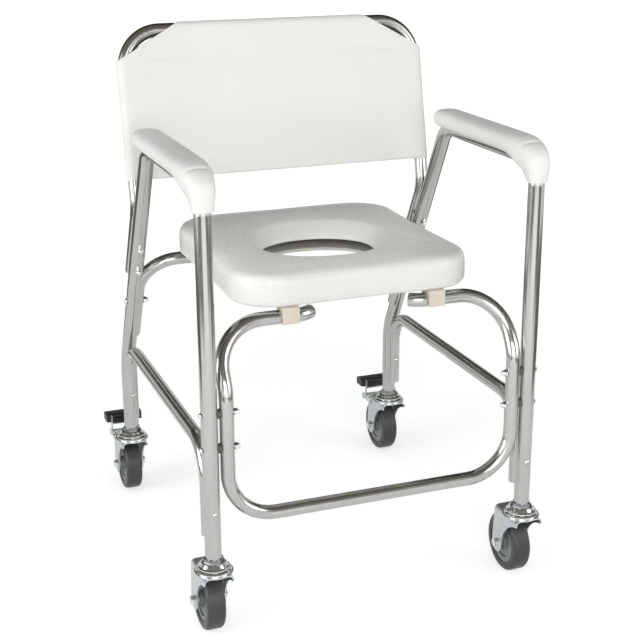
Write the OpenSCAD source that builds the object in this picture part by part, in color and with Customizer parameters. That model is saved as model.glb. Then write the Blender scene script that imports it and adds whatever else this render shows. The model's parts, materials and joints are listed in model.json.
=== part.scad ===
// Shower commode chair on four swivel casters.
// Two bent tube side frames carry a front loop and a rear arch for the seat,
// a reclined back frame with a slip-on cover, and padded arms.
// Millimetres. The sitter faces -Y and +Z is up. The origin is on the floor
// under the middle of the chair. Left and right are as seen from the front.

/* [Side frames] */
// Distance between the left and right legs, centre to centre
leg_span = 530; // [510:2:570]
// Distance between the front and rear legs, centre to centre
leg_depth = 550; // [535:5:590]
// Outside diameter of the side frame tube
tube_d = 25.4; // [24:0.1:27]
// Wall of every frame tube
tube_wall = 1.6; // [1.3:0.1:2]
// Outside diameter of the loop, arch, stretcher and back tubes
bar_d = 22.2; // [21:0.1:23]
// Height of the arm tube's centre over the floor
arm_z = 710; // [690:5:740]
// Bend radius between the front leg and the arm
arm_front_r = 38; // [34:1:44]
// Bend radius between the arm and the slanted rear tube
arm_rear_r = 45; // [40:1:55]
// Lean of the slanted rear tube from vertical, in degrees
rear_lean = 28; // [26:0.5:30]
// Height at which the slanted tube turns down into the rear leg
knee_z = 270; // [260:5:280]
// Bend radius at that knee
knee_r = 90; // [80:5:100]

/* [Stretchers] */
// Bend radius at the ends of each side stretcher
stretcher_r = 60; // [54:1:66]
// Height of the stretcher's open lower ends
stretcher_end_z = 165; // [158:1:175]
// Height of the rivets through legs and stretchers
rivet_z = 212; // [205:1:220]

/* [Front loop] */
// Height of the centres of the two seat bars
seat_bar_z = 490; // [480:5:500]
// Height of the loop's bottom bar
loop_bottom_z = 196; // [185:5:205]
// Corner radius of the loop
loop_corner_r = 75; // [68:1:80]
// Backward lean of the loop's upper corners, in degrees
loop_lean = 32; // [28:1:35]
// Radius of the backward bend
loop_back_r = 60; // [50:5:70]
// Straight tube between the backward bend and the upper corner
loop_straight = 10; // [6:1:14]
// Thickness of the spacers between the loop and the front legs
loop_gap = 3; // [2:0.5:4]
// Distance between the two loop bolts of a leg
loop_bolt_pitch = 55; // [45:5:60]

/* [Rear arch] */
// Corner radius of the arch
arch_r = 65; // [58:1:72]
// Length of the arch's legs along the slanted tubes
arch_leg = 175; // [160:5:185]
// How far the arch's legs are set inside the centre of the slanted tubes
arch_nest = 7; // [6:0.5:9]
// Distance of the arch bolt below the bar, along the slanted tube
arch_bolt_drop = 94; // [90:1:110]

/* [Back] */
// Height of the top tube's centre
back_top_z = 878; // [850:5:910]
// Recline of the back from vertical, in degrees
back_recline = 12.5; // [9:0.5:15]
// Corner radius at the top of the back
back_corner_r = 65; // [58:1:72]
// Height at which the back tube bends into line with the slanted tube
dogleg_z = 590; // [580:5:600]
// Radius of that bend
dogleg_r = 60; // [50:5:70]
// Thickness of the saddles between the back tube and the slanted tube
back_gap = 3; // [2:0.5:4]
// Height of the lower back bolt
back_bolt_z = 482; // [476:1:490]
// Distance between the two back bolts of a side
back_bolt_pitch = 50; // [40:1:55]
// Length of the cover below the top tube's centre
cover_len = 248; // [230:2:255]
// Thickness of the cover's cloth
cover_t = 1.4; // [1:0.1:2]
// Width of the diagonal cut at each top corner of the cover
cover_cut_w = 112; // [100:2:120]
// Height of that cut, measured down from the top tube's centre
cover_cut_h = 50; // [40:2:60]

/* [Seat] */
// Width of the seat
seat_w = 398; // [380:2:420]
// Depth of the seat, front to back
seat_d = 422; // [410:2:440]
// Height of the seat from its lower edge to its crown
seat_h = 53; // [46:1:58]
// Corner radius of the seat seen from above
seat_corner_r = 75; // [65:1:80]
// Distance from the seat's front edge back to the centre of the front bar
seat_front_reach = 13; // [9:1:18]
// Width of the opening at its throat
hole_w = 190; // [170:2:200]
// Length of the opening at its throat
hole_d = 154; // [140:2:170]
// Width of the dished slope around the opening
dish_w = 33; // [26:1:36]
// Thickness of the board under the cushion
base_t = 5; // [4:0.5:7]
// Height of the clips between a bar and the seat
clip_floor = 5.9; // [5:0.1:8]
// Length of a clip along its bar
clip_l = 27; // [22:1:32]
// Distance of the front clips from the middle
front_clip_x = 121; // [110:1:130]
// Distance of the rear clips from the middle
rear_clip_x = 92; // [80:1:120]

/* [Arm pads] */
// Width of an arm pad
pad_w = 52; // [46:1:58]
// Height of the pad's crown over the arm tube's centre
pad_rise = 31; // [28:1:35]
// Width of the pad's nose at its lower end
nose_w = 35; // [33:1:40]
// Length of the pad behind the arm's rear corner
pad_tail = 28; // [20:1:32]

/* [Casters] */
// Wheel diameter
wheel_d = 100; // [90:1:105]
// Width of the tyre
tyre_w = 30; // [26:1:33]
// Diameter of the hub under the tyre
hub_d = 72; // [66:1:76]
// Distance of the axle behind the swivel centre
trail = 35; // [32:1:38]
// Width over the fork's legs
fork_w = 48; // [46:1:54]
// Thickness of the fork's steel
fork_t = 2.5; // [2:0.1:3]
// Diameter of the fork's top plate
plate_d = 60; // [56:1:64]
// Gap between the tyre and the fork's top plate
headroom = 14; // [12:1:18]
// Diameter of the threaded stem
stem_d = 11; // [10:0.5:12]
// Length of the stem inside the leg
stem_l = 40; // [30:1:50]

/* [Brakes] */
// Width of the brake pedal
pedal_w = 68; // [60:1:72]
// Depth of the brake pedal
pedal_l = 26; // [20:1:28]
// Height of the brake pedal
pedal_h = 15; // [12:1:17]

/* [Hidden] */
$fn = 64;

// Clearances and the overrun of cuts
overrun = 1;
hole_fit = 0.1;
running_fit = 0.05;
contact = 0.05;
soft_gap = 0.15;
turn_gap = 0.3;
bend_thin = 0.04;
bend_lap = 0.05;

// Fasteners
bolt_d = 6;
bolt_head_d = 11;
bolt_head_h = 3.6;
nut_flats = 10;
nut_h = 4.5;
nut_dome_d = 9.4;
spacer_d = 15;
rivet_d = 5;
rivet_head_d = 9.5;
rivet_head_h = 2;

// Caster sizes that follow the wheel and the fork
axle_z = wheel_d / 2;
fork_under = wheel_d + headroom;
fork_top = fork_under + fork_t;
raceway_d = 56;
raceway_h = 5;
cap_d = 50;
cap_h = 10;
cap_lip_h = 3.5;
cap_crown_d = 36;
collar_h = 6;
collar_flats = 27;
kingpin_d = 12;
kingpin_head_d = 20;
kingpin_head_h = 3.4;
ball_d = 5;
ball_ring_r = 18;
ball_count = 12;
cap_under = fork_top + raceway_h + turn_gap;
leg_bottom = cap_under + cap_h + collar_h;
boss_r = 16;
fork_front = 28;
fork_rear = 45;
fork_corner_r = 8;
sweep_r = 56;
axle_d = 8;
axle_head_h = 5.5;
axle_flats = 13;
bush_d = 12;
hub_boss_d = 26;
hub_boss_w = 33;
hub_web_w = 21;
hub_rim_w = 26;
hub_groove_in_d = 52;
hub_groove_out_d = 57;
hub_groove_depth = 1.5;
tread_round = 6;
socket_wall_fit = 0.05;

// Brake mechanism, measured from the swivel centre and the floor
brake_pin_d = 5;
brake_pin_head_d = 9;
brake_pin_head_h = 1.6;
brake_pivot_y = 37;
brake_pivot_rise = 6;
brake_eye_r = 7;
lever_t = 2;
shoe_d = 9;
shoe_back = 33;
shoe_drop = 4;
upright_back = 16;
upright_w = 7;
pedal_rise = 20;
tray_t = 2;
foot_w = 14;
pedal_round = 5;

// Where the legs stand: the plan is centred between the front fork plates and the pedals
brake_pivot_z = wheel_d + brake_pivot_rise;
pedal_front = brake_pivot_y + upright_back + upright_w + turn_gap;
pedal_reach = pedal_front + pedal_l;
plan_shift = (pedal_reach - plate_d / 2) / 2;
front_y = -leg_depth / 2 - plan_shift;
rear_y = leg_depth / 2 - plan_shift;
leg_x = leg_span / 2;
tube_r = tube_d / 2;
bar_r = bar_d / 2;

// The side frame's path in its own plane, as [y, z]
function slant_y(z) = rear_y - (z - knee_z) * tan(rear_lean);
arm_rear_y = slant_y(arm_z);
side_path = [[front_y, leg_bottom], [front_y, arm_z], [arm_rear_y, arm_z],
    [rear_y, knee_z], [rear_y, leg_bottom]];
side_bends = [arm_front_r, arm_rear_r, knee_r];

// The stretcher bends where the rear leg's knee begins
knee_low_z = knee_z - knee_r * tan(rear_lean / 2);
stretcher_z = knee_low_z + stretcher_r;
stretcher_front_y = front_y + tube_r + bar_r + contact;
stretcher_rear_y = rear_y - tube_r - bar_r - contact;
stretcher_path = [[stretcher_front_y, stretcher_end_z], [stretcher_front_y, stretcher_z],
    [stretcher_rear_y, stretcher_z], [stretcher_rear_y, stretcher_end_z]];

// The front loop: a flat lower part, a backward bend and leaning upper corners
loop_x = leg_x - tube_r - loop_gap - bar_r;
loop_upper = loop_corner_r + loop_straight;
loop_bend_z = seat_bar_z - loop_back_r * sin(loop_lean) - loop_upper * cos(loop_lean);
front_bar_y = front_y + loop_back_r * (1 - cos(loop_lean)) + loop_upper * sin(loop_lean);
loop_bolt_drop = 16;
loop_bolt_zs = [loop_bend_z - loop_bolt_drop, loop_bend_z - loop_bolt_drop - loop_bolt_pitch];

// The rear arch lies in the plane of the slanted tubes
rear_bar_y = slant_y(seat_bar_z);
arch_x = leg_x - arch_nest;
arch_bolt_z = seat_bar_z - arch_bolt_drop * cos(rear_lean);

// The back frame runs behind the slanted tubes, then reclines
back_off = tube_r + back_gap + bar_r;
function back_line_y(z) = slant_y(z) + back_off / cos(rear_lean);
dogleg_y = back_line_y(dogleg_z);
back_top_y = dogleg_y + (back_top_z - dogleg_z) * tan(back_recline);
back_tail = 36;
back_end_z = back_bolt_z + back_off * sin(rear_lean) - back_tail * cos(rear_lean);
back_bolt_zs = [back_bolt_z, back_bolt_z + back_bolt_pitch * cos(rear_lean)];
cover_gap = 0.4;
cover_in_r = bar_r + cover_gap;
cover_out_r = cover_in_r + cover_t;

// Seat heights and plan
seat_under = seat_bar_z + bar_r + clip_floor;
seat_y = front_bar_y - seat_front_reach + seat_d / 2;
clip_wall = 3.4;
clip_leg = 9;
clip_hook_wrap = 5;
clip_flange_t = 2.5;
clip_flange_l = 20;
screw_d = 4;
screw_head_d = 8;
screw_head_h = 2;
screw_bite = 3;

// Cushion section: insets from the seat's outline and heights as shares of seat_h
base_inset = 14;
base_rim = 7;
side_draw = 2.5;
cushion_inset_shares = [0.07, 0.015, 0, 0.012, 0.08, 0.21, 0.45];
cushion_height_shares = [0, 0.1, 0.3, 0.55, 0.78, 0.9, 0.97];
crown_blend_shares = [0.4, 0.75];
crown_height_shares = [1, 0.985];
dish_reach_shares = [1, 0.72, 0.4, 0.15, 0];
dish_height_shares = [0.94, 0.86, 0.7, 0.5, 0.28];
corner_steps = 7;
side_steps = 6;

// Arm pad section: superellipse power, underside and end rounding
pad_power = 3;
pad_under = 1.5;
nose_under = -9;
nose_rise = 17.5;
pad_corner_bulge = 9;
pad_ring = 20;
pad_turn_steps = 6;
pad_end_l = 24;
pad_end_place_shares = [0, 0.12, 0.45, 1];
pad_end_scale_shares = [0.45, 0.72, 0.93, 1];
pad_run_shares = [0.35, 0.7, 1];

// Ring of a tube, or a full disc where the wall is zero
module ring(d, wall) {
    difference() {
        circle(d = d);
        if (wall > 0)
            circle(d = d - 2 * wall);
    }
}

// Direction of the path's leg i, its turn at vertex i and the tangent length there
function leg_angle(p, i) = atan2(p[i + 1][1] - p[i][1], p[i + 1][0] - p[i][0]);
function wrapped(a) = a > 180 ? a - 360 : a < -180 ? a + 360 : a;
function turn_at(p, i) = wrapped(leg_angle(p, i) - leg_angle(p, i - 1));
function is_end(p, i) = i == 0 || i == len(p) - 1;
function tangent_at(p, r, i) = is_end(p, i) ? 0 : r[i - 1] * tan(abs(turn_at(p, i)) / 2);
function path_runs(p, r) = [for (i = [0 : len(p) - 2])
    norm(p[i + 1] - p[i]) - tangent_at(p, r, i) - tangent_at(p, r, i + 1)];
function path_turns(p) = [for (i = [1 : len(p) - 2]) turn_at(p, i)];
function no_rolls(p) = [for (i = [1 : len(p) - 2]) 0];

// A tube along +X made as a bender makes it: run, roll, turn at a radius, and so on.
// A bend is a hair thinner than the runs and laps into both of them.
module bent_tube(d, wall, runs, rolls, turns, radii, i = 0) {
    rotate([0, 90, 0])
        rotate([0, 0, 45])
            linear_extrude(runs[i])
                ring(d, wall);
    if (i < len(turns))
        translate([runs[i], 0, 0])
            rotate([rolls[i], 0, 0]) {
                r = radii[i];
                side = sign(turns[i]);
                lap = atan(bend_lap / r);
                mirror([0, side < 0 ? 1 : 0, 0])
                    translate([0, r, 0])
                        rotate([0, 0, -90 - lap])
                            rotate_extrude(angle = abs(turns[i]) + 2 * lap)
                                translate([r, 0])
                                    ring(d - 2 * bend_thin, wall - 2 * bend_thin);
                translate([0, side * r, 0])
                    rotate([0, 0, turns[i]])
                        translate([0, -side * r, 0])
                            bent_tube(d, wall, runs, rolls, turns, radii, i + 1);
            }
}

// The same for a flat path of points with a bend radius at each inner one
module flat_tube(d, wall, p, r) {
    translate([p[0][0], p[0][1], 0])
        rotate([0, 0, leg_angle(p, 0)])
            bent_tube(d, wall, path_runs(p, r), no_rolls(p), path_turns(p), r);
}

// A flat path given as [y, z], stood up at x
module in_side_plane(x) {
    translate([x, 0, 0])
        rotate([90, 0, 90])
            children();
}

// A flat path given as [x, height], stood up at y, z and leaning back by lean
module in_front_plane(y, z, lean) {
    translate([0, y, z])
        rotate([90 - lean, 0, 0])
            children();
}

// Places along or across the slanted tube
module on_slant(x, z) {
    translate([x, slant_y(z), z])
        rotate([rear_lean, 0, 0])
            children();
}

module along_x() {
    rotate([0, 90, 0])
        children();
}

module along_y() {
    rotate([-90, 0, 0])
        children();
}

// Round-headed bolt along +Z with its head below z = 0
module bolt(d, head_d, head_h, length) {
    cap_r = (head_d * head_d / 4 + head_h * head_h) / (2 * head_h);
    intersection() {
        translate([0, 0, cap_r - head_h])
            sphere(r = cap_r);
        translate([0, 0, -head_h])
            cylinder(d = head_d, h = head_h);
    }
    cylinder(d = d, h = length);
}

// Acorn nut along +Z that sits on z = 0, with a blind hole
module acorn_nut() {
    difference() {
        union() {
            cylinder(d = nut_flats / cos(30), h = nut_h, $fn = 6);
            translate([0, 0, nut_h])
                intersection() {
                    sphere(d = nut_dome_d);
                    cylinder(d = nut_dome_d, h = nut_dome_d);
                }
        }
        translate([0, 0, -overrun])
            cylinder(d = bolt_d + 2 * hole_fit, h = nut_h + overrun);
    }
}

module bolt_hole_x(length) {
    along_x()
        cylinder(d = bolt_d + 2 * hole_fit, h = length, center = true);
}

// Side frames, stretchers, loop, arch and back
module side_frame(s) {
    color("silver")
        difference() {
            in_side_plane(s * leg_x)
                flat_tube(tube_d, tube_wall, side_path, side_bends);
            for (z = loop_bolt_zs)
                translate([s * leg_x, front_y, z])
                    bolt_hole_x(tube_d + 2 * overrun);
            translate([s * leg_x, slant_y(arch_bolt_z), arch_bolt_z])
                bolt_hole_x(tube_d + 2 * overrun);
            for (z = back_bolt_zs)
                on_slant(s * leg_x, z)
                    along_y()
                        cylinder(d = bolt_d + 2 * hole_fit, h = tube_d + 2 * overrun, center = true);
            for (y = [front_y, rear_y])
                translate([s * leg_x, y, rivet_z])
                    along_y()
                        cylinder(d = rivet_d + 2 * hole_fit, h = tube_d + 2 * overrun, center = true);
        }
}

module stretcher(s) {
    color("silver")
        difference() {
            in_side_plane(s * leg_x)
                flat_tube(bar_d, tube_wall, stretcher_path, [stretcher_r, stretcher_r]);
            for (y = [stretcher_front_y, stretcher_rear_y])
                translate([s * leg_x, y, rivet_z])
                    along_y()
                        cylinder(d = rivet_d + 2 * hole_fit, h = bar_d + 2 * overrun, center = true);
        }
}

module front_loop() {
    half = loop_x - loop_corner_r;
    runs = [half, loop_bend_z - loop_bottom_z - loop_corner_r, loop_straight, half + overrun];
    color("silver")
        difference() {
            for (s = [0, 1])
                mirror([s, 0, 0])
                    intersection() {
                        in_front_plane(front_y, loop_bottom_z, 0)
                            bent_tube(bar_d, tube_wall, runs, [0, -90, 90], [90, loop_lean, 90],
                                [loop_corner_r, loop_back_r, loop_corner_r]);
                        translate([0, -leg_depth, 0])
                            cube([leg_span, 2 * leg_depth, arm_z]);
                    }
            for (s = [-1, 1], z = loop_bolt_zs)
                translate([s * loop_x, front_y, z])
                    bolt_hole_x(bar_d + 2 * overrun);
        }
}

module rear_seat_arch() {
    color("silver")
        difference() {
            for (s = [0, 1])
                mirror([s, 0, 0])
                    difference() {
                        in_front_plane(rear_bar_y, seat_bar_z, -rear_lean)
                            bent_tube(bar_d, tube_wall, [arch_x - arch_r, arch_leg - arch_r], [0],
                                [-90], [arch_r]);
                        on_slant(leg_x, seat_bar_z)
                            cylinder(d = tube_d + 2 * contact, h = 3 * arch_leg, center = true);
                    }
            for (s = [-1, 1])
                translate([s * arch_x, slant_y(arch_bolt_z), arch_bolt_z])
                    bolt_hole_x(bar_d + 2 * overrun);
        }
}

module back_frame() {
    turn = rear_lean + back_recline;
    back = dogleg_r * tan(turn / 2);
    drop = (back_top_z - dogleg_z) / cos(back_recline);
    tail = (dogleg_z - back_end_z) / cos(rear_lean);
    runs = [leg_x - back_corner_r, drop - back_corner_r - back, tail - back];
    color("silver")
        difference() {
            for (s = [0, 1])
                mirror([s, 0, 0])
                    in_front_plane(back_top_y, back_top_z, back_recline)
                        bent_tube(bar_d, tube_wall, runs, [0, 90], [-90, -turn],
                            [back_corner_r, dogleg_r]);
            for (s = [-1, 1], z = back_bolt_zs)
                on_slant(s * leg_x, z)
                    along_y()
                        cylinder(d = bolt_d + 2 * hole_fit, h = back_off + bar_d);
        }
}

// A sleeve round the back tubes: closed over the top, open below
module sleeve(r, below) {
    intersection() {
        translate([0, 0, -below])
            linear_extrude(below + 2 * r) {
                square([leg_span, 2 * r], center = true);
                for (s = [-1, 1])
                    translate([s * leg_x, 0])
                        circle(r = r);
            }
        union() {
            translate([-leg_span, -r, -below])
                cube([2 * leg_span, 2 * r, below]);
            along_x()
                cylinder(r = r, h = 2 * leg_span, center = true);
        }
    }
}

module back_cover() {
    edge = leg_x + cover_out_r;
    top = cover_out_r + overrun;
    color("white")
        translate([0, back_top_y, back_top_z])
            rotate([-back_recline, 0, 0])
                difference() {
                    sleeve(cover_out_r, cover_len);
                    sleeve(cover_in_r, cover_len + overrun);
                    for (s = [0, 1])
                        mirror([s, 0, 0])
                            rotate([90, 0, 0])
                                linear_extrude(4 * cover_out_r, center = true)
                                    polygon([[edge + overrun, -cover_cut_h], [edge + overrun, top],
                                        [edge - cover_cut_w, top]]);
                }
}

// Rings of points joined into one closed skin
function ring_faces(rings, count, closed) = [
    for (i = [0 : rings - (closed ? 1 : 2)], j = [0 : count - 1])
        let (a = i * count, b = ((i + 1) % rings) * count, k = (j + 1) % count)
            each [[a + j, b + k, a + k], [a + j, b + j, b + k]]];
function end_faces(first, count, flip) = [
    for (j = [1 : count - 2])
        flip ? [first, first + j + 1, first + j] : [first, first + j, first + j + 1]];

// Arm pad: sections across the arm, then round the front bend
function signed_power(v, n) = sign(v) * pow(abs(v), 2 / n);
function pad_section(place, angle, half, low, high) = [
    for (j = [0 : pad_ring - 1])
        let (t = 360 * j / pad_ring,
            b = (low + high) / 2 + (high - low) / 2 * signed_power(sin(t), pad_power))
            [half * signed_power(cos(t), pad_power),
                place[0] + b * cos(angle), place[1] + b * sin(angle)]];
function mix(a, b, share) = a + (b - a) * share;

module arm_pad(s) {
    mid = (pad_under + pad_rise) / 2;
    tall = (pad_rise - pad_under) / 2;
    tail_y = arm_rear_y + pad_tail;
    bend_y = front_y + arm_front_r;
    bend_z = arm_z - arm_front_r;
    tail = [for (i = [0 : len(pad_end_place_shares) - 1])
        let (k = pad_end_scale_shares[i])
            pad_section([tail_y - pad_end_l * pad_end_place_shares[i], arm_z], 90,
                k * pad_w / 2, mid - k * tall, mid + k * tall)];
    run = [for (share = pad_run_shares)
        pad_section([mix(tail_y - pad_end_l, bend_y, share), arm_z], 90,
            pad_w / 2, pad_under, pad_rise)];
    nose = [for (i = [1 : pad_turn_steps])
        let (share = i / pad_turn_steps, angle = 90 + 90 * share,
            bulge = pad_corner_bulge * sin(180 * share))
            pad_section([bend_y + arm_front_r * cos(angle), bend_z + arm_front_r * sin(angle)],
                angle, mix(pad_w, nose_w, share * share) / 2, mix(pad_under, nose_under, share),
                mix(pad_rise, nose_rise, share) + bulge)];
    sections = concat(tail, run, nose);
    points = [for (section = sections) each section];
    last = (len(sections) - 1) * pad_ring;
    color("white")
        difference() {
            translate([s * leg_x, 0, 0])
                polyhedron(points, concat(end_faces(0, pad_ring, false),
                    ring_faces(len(sections), pad_ring, false),
                    end_faces(last, pad_ring, true)));
            in_side_plane(s * leg_x)
                flat_tube(tube_d + 2 * soft_gap, 0, side_path, side_bends);
        }
}

// Frame fasteners
module loop_bolts() {
    grip = tube_d + loop_gap + bar_d + nut_h;
    color("gainsboro")
        for (s = [0, 1], z = loop_bolt_zs)
            mirror([s, 0, 0])
                translate([-leg_x - tube_r, front_y, z])
                    along_x()
                        bolt(bolt_d, bolt_head_d, bolt_head_h, grip);
}

module loop_acorn_nuts() {
    color("gainsboro")
        for (s = [0, 1], z = loop_bolt_zs)
            mirror([s, 0, 0])
                translate([-loop_x + bar_r, front_y, z])
                    along_x()
                        acorn_nut();
}

module loop_spacers() {
    color("dimgray")
        for (s = [0, 1], z = loop_bolt_zs)
            mirror([s, 0, 0])
                difference() {
                    translate([-leg_x, front_y, z])
                        along_x()
                            cylinder(d = spacer_d, h = leg_x - loop_x);
                    for (tube = [[leg_x, tube_d], [loop_x, bar_d]])
                        translate([-tube[0], front_y, z])
                            cylinder(d = tube[1] + 2 * contact, h = 2 * spacer_d, center = true);
                    translate([-leg_x, front_y, z])
                        bolt_hole_x(leg_x);
                }
}

module arch_bolts() {
    grip = tube_r + arch_nest + bar_r + nut_h;
    color("gainsboro")
        for (s = [0, 1])
            mirror([s, 0, 0])
                translate([-leg_x - tube_r, slant_y(arch_bolt_z), arch_bolt_z])
                    along_x()
                        bolt(bolt_d, bolt_head_d, bolt_head_h, grip);
}

module arch_acorn_nuts() {
    color("gainsboro")
        for (s = [0, 1])
            mirror([s, 0, 0])
                translate([-arch_x + bar_r, slant_y(arch_bolt_z), arch_bolt_z])
                    along_x()
                        acorn_nut();
}

module back_bolts() {
    grip = tube_d + back_gap + bar_d + nut_h;
    color("gainsboro")
        for (s = [-1, 1], z = back_bolt_zs)
            on_slant(s * leg_x, z)
                rotate([90, 0, 0])
                    translate([0, 0, -back_off - bar_r])
                        bolt(bolt_d, bolt_head_d, bolt_head_h, grip);
}

module back_acorn_nuts() {
    color("gainsboro")
        for (s = [-1, 1], z = back_bolt_zs)
            on_slant(s * leg_x, z)
                rotate([90, 0, 0])
                    translate([0, 0, tube_r])
                        acorn_nut();
}

module back_saddles() {
    color("dimgray")
        for (s = [-1, 1], z = back_bolt_zs)
            on_slant(s * leg_x, z)
                difference() {
                    along_y()
                        cylinder(d = spacer_d, h = back_off);
                    cylinder(d = tube_d + 2 * contact, h = 2 * spacer_d, center = true);
                    translate([0, back_off, 0])
                        cylinder(d = bar_d + 2 * contact, h = 2 * spacer_d, center = true);
                    along_y()
                        cylinder(d = bolt_d + 2 * hole_fit, h = 2 * back_off, center = true);
                }
}

module stretcher_rivets() {
    grip = tube_d + bar_d + contact;
    color("gray")
        for (s = [-1, 1], y = [front_y - tube_r, stretcher_rear_y - bar_r])
            translate([s * leg_x, y, rivet_z])
                along_y() {
                    bolt(rivet_d, rivet_head_d, rivet_head_h, grip);
                    translate([0, 0, grip])
                        mirror([0, 0, 1])
                            bolt(rivet_d, rivet_head_d, rivet_head_h, grip / 2);
                }
}

// Casters
module at_casters() {
    for (s = [-1, 1], y = [front_y, rear_y])
        translate([s * leg_x, y, 0])
            children();
}

module stem_sockets() {
    socket_d = tube_d - 2 * tube_wall - 2 * socket_wall_fit;
    color("white")
        at_casters()
            translate([0, 0, leg_bottom])
                difference() {
                    cylinder(d = socket_d, h = stem_l + overrun);
                    translate([0, 0, -overrun])
                        cylinder(d = stem_d + 2 * contact, h = stem_l + 3 * overrun);
                }
}

module caster_stems() {
    color("slategray")
        at_casters() {
            translate([0, 0, fork_under - turn_gap - kingpin_head_h])
                cylinder(d = kingpin_head_d, h = kingpin_head_h);
            translate([0, 0, fork_under - turn_gap])
                cylinder(d = kingpin_d, h = leg_bottom - collar_h - fork_under + turn_gap);
            translate([0, 0, leg_bottom - collar_h])
                cylinder(d = collar_flats / cos(30), h = collar_h, $fn = 6);
            translate([0, 0, leg_bottom])
                cylinder(d = stem_d, h = stem_l);
        }
}

module ball_track() {
    translate([0, 0, cap_under - turn_gap / 2])
        rotate_extrude()
            translate([ball_ring_r, 0])
                circle(d = ball_d + 2 * hole_fit);
}

module swivel_caps() {
    color("gainsboro")
        at_casters()
            difference() {
                translate([0, 0, cap_under])
                    rotate_extrude()
                        polygon([[kingpin_d / 2 + hole_fit, 0], [cap_d / 2 - overrun, 0],
                            [cap_d / 2, overrun], [cap_d / 2, cap_lip_h - overrun],
                            [cap_d / 2 - overrun, cap_lip_h],
                            [(cap_d + cap_crown_d) / 4 + overrun, cap_lip_h + overrun],
                            [cap_crown_d / 2 + overrun, cap_h - overrun],
                            [cap_crown_d / 2 - overrun, cap_h], [kingpin_d / 2 + hole_fit, cap_h]]);
                ball_track();
            }
}

module swivel_balls() {
    color("lightgray")
        at_casters()
            for (i = [0 : ball_count - 1])
                rotate([0, 0, 360 * i / ball_count])
                    translate([ball_ring_r, 0, cap_under - turn_gap / 2])
                        sphere(d = ball_d);
}

// Side outline of the fork as [y, z], with its swept front edge
module fork_outline() {
    difference() {
        union() {
            polygon([[-fork_front, fork_top], [fork_rear, fork_top], [trail + boss_r, axle_z],
                [trail - boss_r, axle_z], [-fork_front, axle_z + boss_r]]);
            translate([trail, axle_z])
                circle(r = boss_r);
        }
        translate([trail - boss_r - sweep_r, axle_z])
            circle(r = sweep_r);
    }
}

// Rounded top of the pressed fork as [x, z]
module fork_arch(w, top, r) {
    translate([-w / 2, 0])
        square([w, top - r]);
    translate([r - w / 2, 0])
        square([w - 2 * r, top]);
    for (s = [-1, 1])
        translate([s * (w / 2 - r), top - r])
            circle(r = r);
}

module fork() {
    color("lightslategray")
        difference() {
            union() {
                intersection() {
                    rotate([90, 0, 0])
                        linear_extrude(wheel_d, center = true)
                            difference() {
                                fork_arch(fork_w, fork_top, fork_corner_r);
                                translate([0, -overrun])
                                    fork_arch(fork_w - 2 * fork_t, fork_under + overrun,
                                        fork_corner_r - fork_t);
                            }
                    rotate([90, 0, 90])
                        linear_extrude(fork_w + 2 * overrun, center = true)
                            fork_outline();
                }
                translate([0, 0, fork_under])
                    cylinder(d = plate_d, h = fork_t);
            }
            translate([0, 0, fork_under - overrun])
                cylinder(d = kingpin_d + 2 * running_fit, h = fork_t + 2 * overrun);
            translate([0, trail, axle_z])
                along_x()
                    cylinder(d = axle_d + 2 * hole_fit, h = 2 * fork_w, center = true);
        }
}

module braked_fork() {
    color("lightslategray")
        difference() {
            fork();
            translate([0, brake_pivot_y, brake_pivot_z])
                along_x()
                    cylinder(d = brake_pin_d + 2 * hole_fit, h = 2 * fork_w, center = true);
        }
}

module raceway() {
    color("gainsboro")
        difference() {
            translate([0, 0, fork_top])
                rotate_extrude()
                    polygon([[kingpin_head_d / 2, 0], [raceway_d / 2, 0],
                        [raceway_d / 2, raceway_h - 2 * overrun],
                        [raceway_d / 2 - 2 * overrun, raceway_h], [kingpin_head_d / 2, raceway_h]]);
            ball_track();
        }
}

module axle() {
    half = fork_w / 2;
    color("gainsboro")
        translate([0, trail, axle_z])
            along_x() {
                translate([0, 0, -half - axle_head_h])
                    cylinder(d = axle_d, h = fork_w + axle_head_h);
                translate([0, 0, half])
                    cylinder(d = axle_flats / cos(30), h = axle_head_h, $fn = 6);
                translate([0, 0, -half - axle_head_h])
                    difference() {
                        cylinder(d = axle_flats / cos(30), h = axle_head_h, $fn = 6);
                        translate([0, 0, -overrun])
                            cylinder(d = axle_d + 2 * hole_fit, h = axle_head_h + 2 * overrun);
                    }
            }
}

module bush() {
    length = fork_w - 2 * fork_t - 2 * contact;
    color("white")
        translate([0, trail, axle_z])
            along_x()
                difference() {
                    cylinder(d = bush_d, h = length, center = true);
                    cylinder(d = axle_d + 2 * hole_fit, h = length + 2 * overrun, center = true);
                }
}

module at_wheel() {
    translate([0, trail, axle_z])
        along_x()
            children();
}

module hub() {
    color("gray")
        at_wheel()
            difference() {
                union() {
                    cylinder(d = hub_boss_d, h = hub_boss_w, center = true);
                    cylinder(d = hub_groove_out_d, h = hub_web_w, center = true);
                    difference() {
                        cylinder(d = hub_d, h = hub_rim_w, center = true);
                        cylinder(d = hub_groove_out_d - hub_groove_depth, h = tyre_w, center = true);
                    }
                }
                cylinder(d = bush_d + 2 * running_fit, h = 2 * fork_w, center = true);
                for (s = [0, 1])
                    mirror([0, 0, s])
                        translate([0, 0, hub_web_w / 2 - hub_groove_depth])
                            difference() {
                                cylinder(d = hub_groove_out_d - hub_groove_depth, h = tyre_w);
                                cylinder(d = hub_groove_in_d, h = 3 * tyre_w, center = true);
                            }
            }
}

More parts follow.
